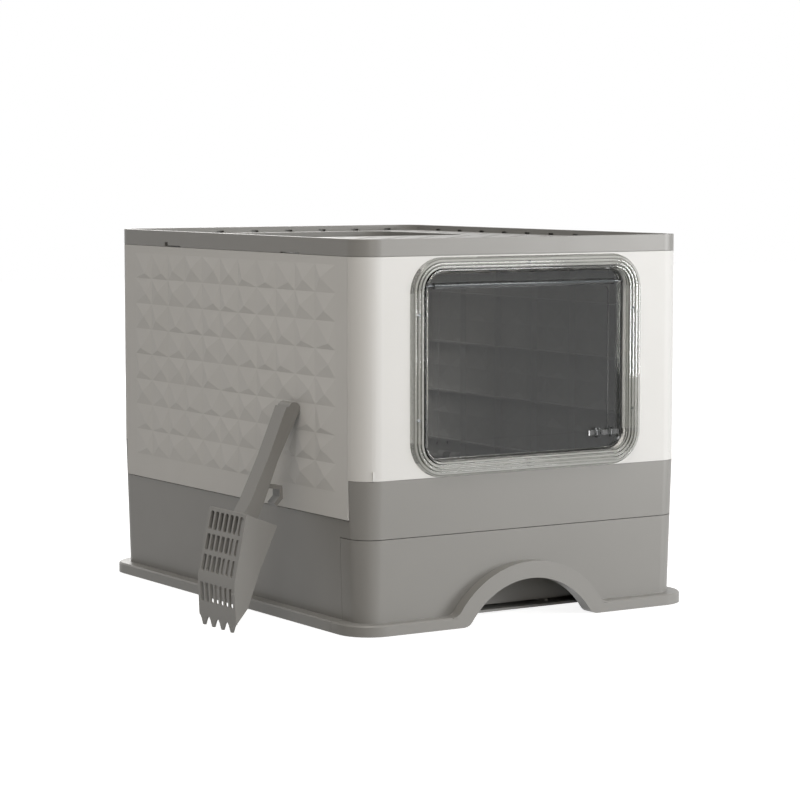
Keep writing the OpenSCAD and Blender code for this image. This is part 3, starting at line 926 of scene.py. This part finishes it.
@dataclass
class Softbox:
    """A rectangular studio lamp aimed at the box."""

    name: str
    place: Place
    width: float
    height: float
    power: float
    colour: str = "#ffffff"
    aim: Place = (0.0, 0.0, 0.2)

    def hang(self) -> None:
        """Puts the lamp in the scene."""
        lamp = bpy.data.lights.new(self.name, "AREA")
        lamp.shape = "RECTANGLE"
        lamp.size = self.width
        lamp.size_y = self.height
        lamp.energy = self.power
        lamp.color = srgb(self.colour)[:3]
        holder = bpy.data.objects.new(self.name, lamp)
        bpy.context.scene.collection.objects.link(holder)
        holder.location = self.place
        towards = Vector(self.aim) - Vector(self.place)
        holder.rotation_euler = towards.to_track_quat("-Z", "Y").to_euler()


# name, place, width and height in metres, power in watts and colour
LAMPS = (
    Softbox("key_softbox", (2.02, -1.82, 0.38), 1.1, 0.68, 40.0),
    Softbox("front_softbox", (1.0, -2.5, 0.9), 1.2, 0.8, 16.0),
    Softbox("left_fill", (-2.0, -0.4, 1.6), 1.6, 1.6, 3.5, "#fff0dc"),
    Softbox("rear_fill", (0.7, 2.5, 1.3), 1.4, 1.4, 26.0, "#fffdfa"),
    Softbox("raking_strip", (-0.95, -2.4, 0.5), 0.35, 1.0, 5.0, "#fff8ee"),
    Softbox("top_softbox", (-0.75, -1.1, 2.3), 0.9, 0.9, 24.0, "#fffaf4"),
)


@dataclass
class Studio:
    """Plain pale floor, soft lamps and the camera."""

    floor_size: float = 14.0
    # the floor brightens from near the box to white, so that no horizon shows
    near: float = 0.5
    far: float = 1.6
    near_white: float = 0.88
    world_strength: float = 0.2
    lens_length: float = 119.14
    camera_place: Place = (-1.5075, -2.3752, 0.4498)
    camera_tilt: float = 84.93
    camera_turn: float = -32.64

    def white_to_the_eye(self, tree: bpy.types.NodeTree) -> bpy.types.NodeSocket:
        """Adds the test for rays that should meet the white background.

        Args:
            tree: The node tree that gets it.

        Returns:
            A socket that is 1 for those rays and 0 for the rest.
        """
        path = add_node(tree, "ShaderNodeLightPath")
        seen = add_node(
            tree,
            "ShaderNodeMath",
            {"operation": "MAXIMUM"},
            {0: path.outputs["Is Camera Ray"], 1: path.outputs["Is Glossy Ray"]},
        )
        both = add_node(
            tree,
            "ShaderNodeMath",
            {"operation": "MAXIMUM"},
            {0: seen.outputs["Value"], 1: path.outputs["Is Transmission Ray"]},
        )
        return both.outputs["Value"]

    def lay_floor(self) -> None:
        """Makes the floor: pale, white to the eye, and it keeps the box's shadow."""
        bm = bmesh.new()
        bmesh.ops.create_grid(bm, x_segments=1, y_segments=1, size=self.floor_size / 2)
        mesh = bpy.data.meshes.new("studio_floor")
        bm.to_mesh(mesh)
        bm.free()
        floor = bpy.data.objects.new("studio_floor", mesh)
        bpy.context.scene.collection.objects.link(floor)
        material, tree = new_material("pale_paper_floor")
        seen = self.white_to_the_eye(tree)
        paper = add_node(tree, "ShaderNodeBsdfDiffuse", {"Color": srgb("#b4b3b1")})
        away = add_node(
            tree,
            "ShaderNodeVectorMath",
            {"operation": "LENGTH"},
            {0: add_node(tree, "ShaderNodeTexCoord").outputs["Object"]},
        )
        clear = add_node(
            tree,
            "ShaderNodeMapRange",
            {"From Min": self.near, "From Max": self.far, "To Min": self.near_white, "To Max": 1.0},
            {"Value": away.outputs["Value"]},
        )
        lifted = add_node(
            tree,
            "ShaderNodeEmission",
            {"Color": srgb("#ffffff")},
            {"Strength": clear.outputs["Result"]},
        )
        shaded = add_node(tree, "ShaderNodeBsdfDiffuse", {"Color": srgb("#d8d8d8")})
        white = add_node(
            tree,
            "ShaderNodeAddShader",
            None,
            {0: lifted.outputs["Emission"], 1: shaded.outputs["BSDF"]},
        )
        # gloss and glass meet the plain white, only the eye meets the shadow as well
        plain = add_node(tree, "ShaderNodeEmission", {"Color": srgb("#ffffff"), "Strength": 1.0})
        path = add_node(tree, "ShaderNodeLightPath")
        met = add_node(
            tree,
            "ShaderNodeMixShader",
            None,
            {0: path.outputs["Is Camera Ray"], 1: plain.outputs["Emission"], 2: white.outputs["Shader"]},
        )
        mix = add_node(
            tree,
            "ShaderNodeMixShader",
            None,
            {0: seen, 1: paper.outputs["BSDF"], 2: met.outputs["Shader"]},
        )
        add_node(tree, "ShaderNodeOutputMaterial", None, {"Surface": mix.outputs["Shader"]})
        floor.data.materials.append(material)
        floor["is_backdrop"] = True

    def light(self) -> None:
        """Hangs the lamps and sets the world."""
        for lamp in LAMPS:
            lamp.hang()
        world = bpy.data.worlds.new("studio_air")
        world.use_nodes = True
        world.node_tree.nodes.clear()
        tree = world.node_tree
        seen = self.white_to_the_eye(tree)
        soft = add_node(
            tree,
            "ShaderNodeBackground",
            {"Color": srgb("#fbf6ef"), "Strength": self.world_strength},
        )
        white = add_node(tree, "ShaderNodeBackground", {"Color": srgb("#ffffff"), "Strength": 1.0})
        mix = add_node(
            tree,
            "ShaderNodeMixShader",
            None,
            {0: seen, 1: soft.outputs["Background"], 2: white.outputs["Background"]},
        )
        add_node(tree, "ShaderNodeOutputWorld", None, {"Surface": mix.outputs["Shader"]})
        bpy.context.scene.world = world
        bpy.context.scene.view_settings.view_transform = "Standard"

    def set_camera(self) -> None:
        """Puts the camera where the photograph was taken from."""
        lens = bpy.data.cameras.new("photo_camera")
        lens.sensor_width = 36.0
        lens.lens = self.lens_length
        lens.clip_start = 0.05
        lens.clip_end = 60.0
        camera = bpy.data.objects.new("photo_camera", lens)
        bpy.context.scene.collection.objects.link(camera)
        camera.location = self.camera_place
        camera.rotation_euler = (math.radians(self.camera_tilt), 0.0, math.radians(self.camera_turn))
        bpy.context.scene.camera = camera


# ------------------------------------------------------------------ main


def corners() -> list[list[float]]:
    """Gives the shown object's box as plain lists."""
    return [list(corner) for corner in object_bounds()]


def main(frame: dict) -> None:
    """Builds every sub-assembly and the studio.
    """
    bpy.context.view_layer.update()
    palette = Palette()
    palette.mix()
    for kind in (Housing, Drawer, Walls, Window, Lid, Scoop):
        kind(frame, palette).build()
    studio = Studio()
    studio.set_camera()
    studio.lay_floor()
    studio.light()


if __name__ == "__main__":
    logging.basicConfig(level=logging.INFO, format="%(message)s")
    main(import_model())
